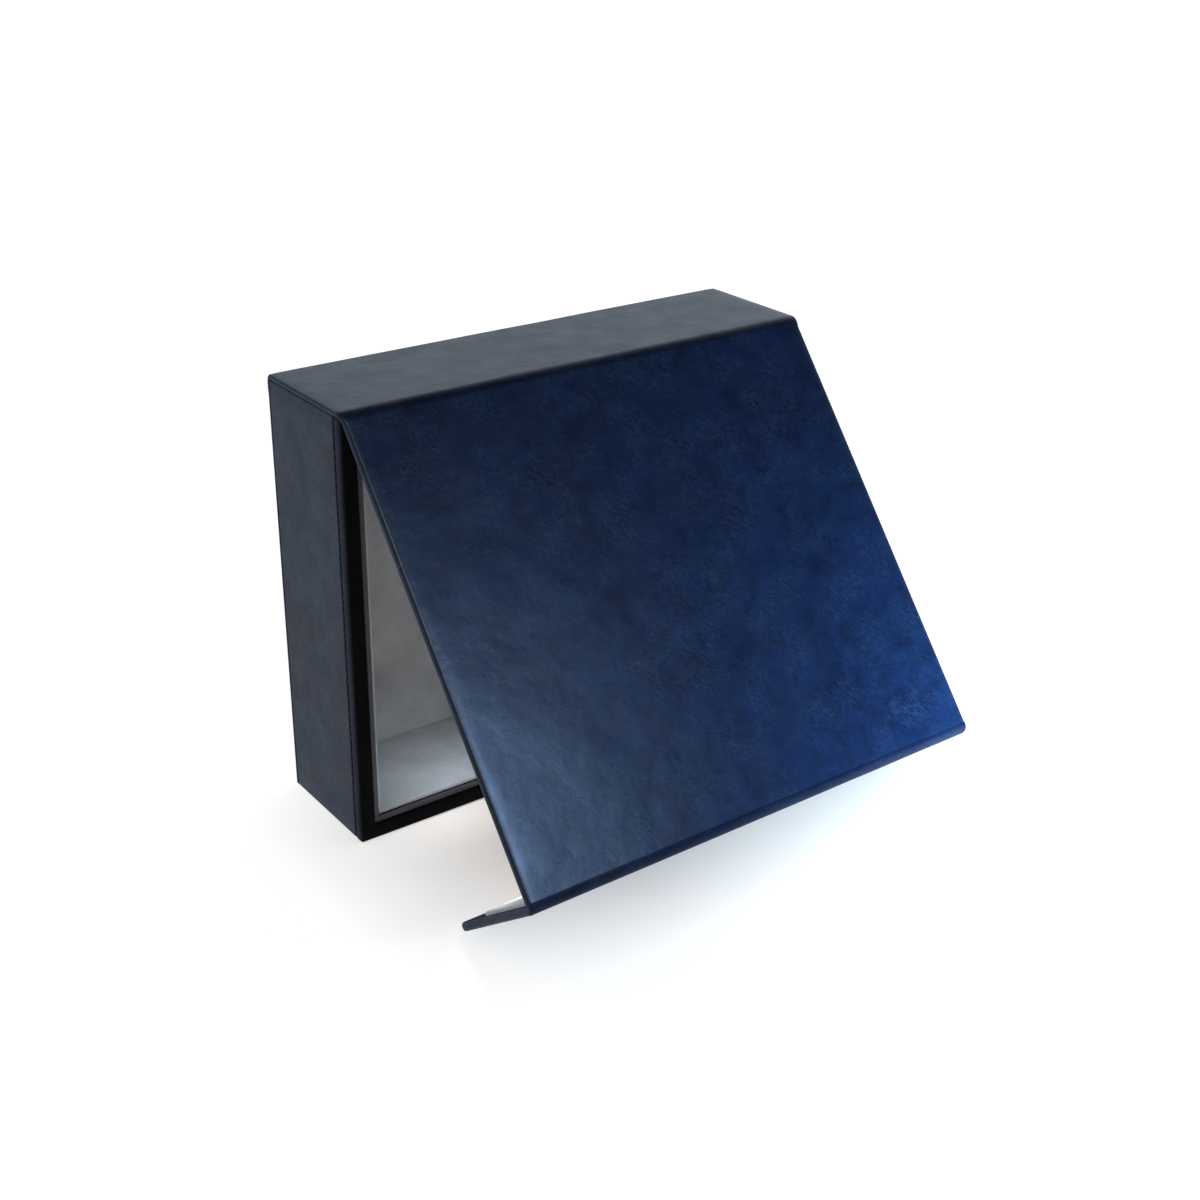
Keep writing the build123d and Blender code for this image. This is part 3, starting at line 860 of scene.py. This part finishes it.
# Stage: a pale floor whose own light is weaker where the box shades it. Lengths are in metres
bpy.ops.mesh.primitive_plane_add(size=80, location=(0, 0, 0))
floor = bpy.context.object
floor.name = "floor"
paper = Surface("floor")
ground = paper.make("ShaderNodeSeparateXYZ", {0: paper.place}).outputs
# Middle, half width and softness of the shaded place along X and Y, and its share of light
SHADE = {"X": (0.030, 0.110, 0.05), "Y": (-0.052, 0.055, 0.03)}
SHADED = 0.22
# Distance from the frame's origin and strength of light, close to the box and away from it: weaker
# close to the box, as painted soft shade
CLOSE, AWAY = (0.12, 0.80), (0.36, 0.86)
shares = []
for axis, (middle, reach, soft) in SHADE.items():
    off = paper.maths("ABSOLUTE", paper.maths("SUBTRACT", ground[axis], middle))
    shares.append(paper.fit(off, reach + soft, reach - soft))
unshaded = paper.fit(paper.maths("MULTIPLY", *shares), 0.0, 1.0, 1.0, SHADED)
distance = paper.vector("LENGTH", {0: paper.place}, "Value")
lit = paper.maths("MULTIPLY", unshaded, paper.fit(distance, CLOSE[0], AWAY[0], CLOSE[1], AWAY[1]))
paper.give({
    "Base Color": (0.92, 0.77, 0.67, 1),
    "Roughness": 0.7,
    "Specular IOR Level": 0.1,
    "Emission Color": (1.0, 1.0, 1.0, 1),
    "Emission Strength": lit,
})
floor.data.materials.append(paper.material)

# Sky: bright behind the box and low at its sides, dark above and in front of it
world = bpy.data.worlds.new("studio")
bpy.context.scene.world = world
world.use_nodes = True
sky = Nodes(world.node_tree)
direction = sky.make("ShaderNodeTexCoord").outputs["Generated"]
axes = sky.make("ShaderNodeSeparateXYZ", {0: direction}).outputs
facing = sky.vector("DOT_PRODUCT", {0: direction, 1: (0.25, 0.90, 0.0)}, "Value")


def sky_part(source, low, high, top=1.0):
    """A soft step of the sky's strength from 0 at low to top at high."""
    return sky.fit(source, low, high, 0.0, top, "SMOOTHSTEP")


behind = sky.maths("MULTIPLY", sky_part(facing, 0.05, 0.60, 1.08), sky_part(axes["Z"], 0.80, 0.50))
on_left = sky.maths("MULTIPLY", sky_part(axes["X"], -0.50, -0.85, 2.00),
                    sky_part(axes["Z"], 0.80, 0.30))
on_right = sky.maths("MULTIPLY", sky_part(axes["X"], 0.65, 0.92, 1.40),
                     sky_part(axes["Z"], 0.60, 0.15))
beside = sky.maths("MULTIPLY", sky.maths("ADD", on_left, on_right),
                   sky_part(axes["Y"], -0.45, -0.10))
strength = sky.maths("ADD", sky.maths("ADD", beside, behind), 0.03)
background = world.node_tree.nodes["Background"]
sky.feed(background.inputs["Strength"], strength)
background.inputs["Color"].default_value = (0.78, 0.90, 1.0, 1)


def area(name, at, aim, size, radiance, colour, diffuse=True, glossy=True, beam=180):
    """A soft light whose power follows from its size and how bright it looks. beam: its spread."""
    light = bpy.data.lights.new(name, "AREA")
    light.shape = "RECTANGLE"
    light.size, light.size_y = size
    light.energy = radiance * math.pi * size[0] * size[1]
    light.color = colour
    light.spread = math.radians(beam)
    ob = bpy.data.objects.new(name, light)
    bpy.context.scene.collection.objects.link(ob)
    ob.location = at
    ob.rotation_euler = (Vector(aim) - Vector(at)).to_track_quat("-Z", "Y").to_euler()
    ob.visible_camera = False
    ob.visible_diffuse = diffuse
    ob.visible_glossy = glossy


area("haze", (0.012, -0.425, 0.305), (-0.09, -0.11, 0.06), (0.12, 0.13), 54.0,
     (0.44, 0.67, 1.0), diffuse=False)
area("key", (0.150, -0.225, 0.022), (0.09, -0.12, 0.05), (0.05, 0.03), 235.0,
     (0.5, 0.8, 1.0), glossy=False)
area("inside", (-0.055, -0.031, 0.048), (-0.055, -0.012, 0.0), (0.05, 0.02), 2.0,
     (0.78, 0.90, 1.0), glossy=False, beam=100)
area("flap", (0.0, -0.094, 0.030), (0.0, -0.122, 0.006), (0.18, 0.010), 10.5,
     (1.0, 0.95, 0.88), glossy=False, beam=120)
area("edge", (-0.28, -0.41, 0.41), (-0.098, -0.09, 0.09), (0.06, 0.30), 38.0,
     (0.82, 0.91, 1.0), diffuse=False)

# Camera at the photograph's viewing angle: its place and its axes to the right, up and back
cam_data = bpy.data.cameras.new("camera")
cam_data.sensor_width = 36.0
cam_data.lens = 50.8156
cam_data.clip_start = 0.01
cam = bpy.data.objects.new("camera", cam_data)
bpy.context.scene.collection.objects.link(cam)
right = Vector((0.80243432, -0.59655713, 0.01479021))
upward = Vector((0.24832824, 0.35636033, 0.90074436))
backward = Vector((-0.54261611, -0.71911536, 0.43409774))
turn = Matrix((right, upward, backward)).transposed().to_4x4()
cam.matrix_world = Matrix.Translation((-0.34311, -0.48919, 0.34907)) @ turn
bpy.context.scene.camera = cam
bpy.context.scene.view_settings.view_transform = "Standard"
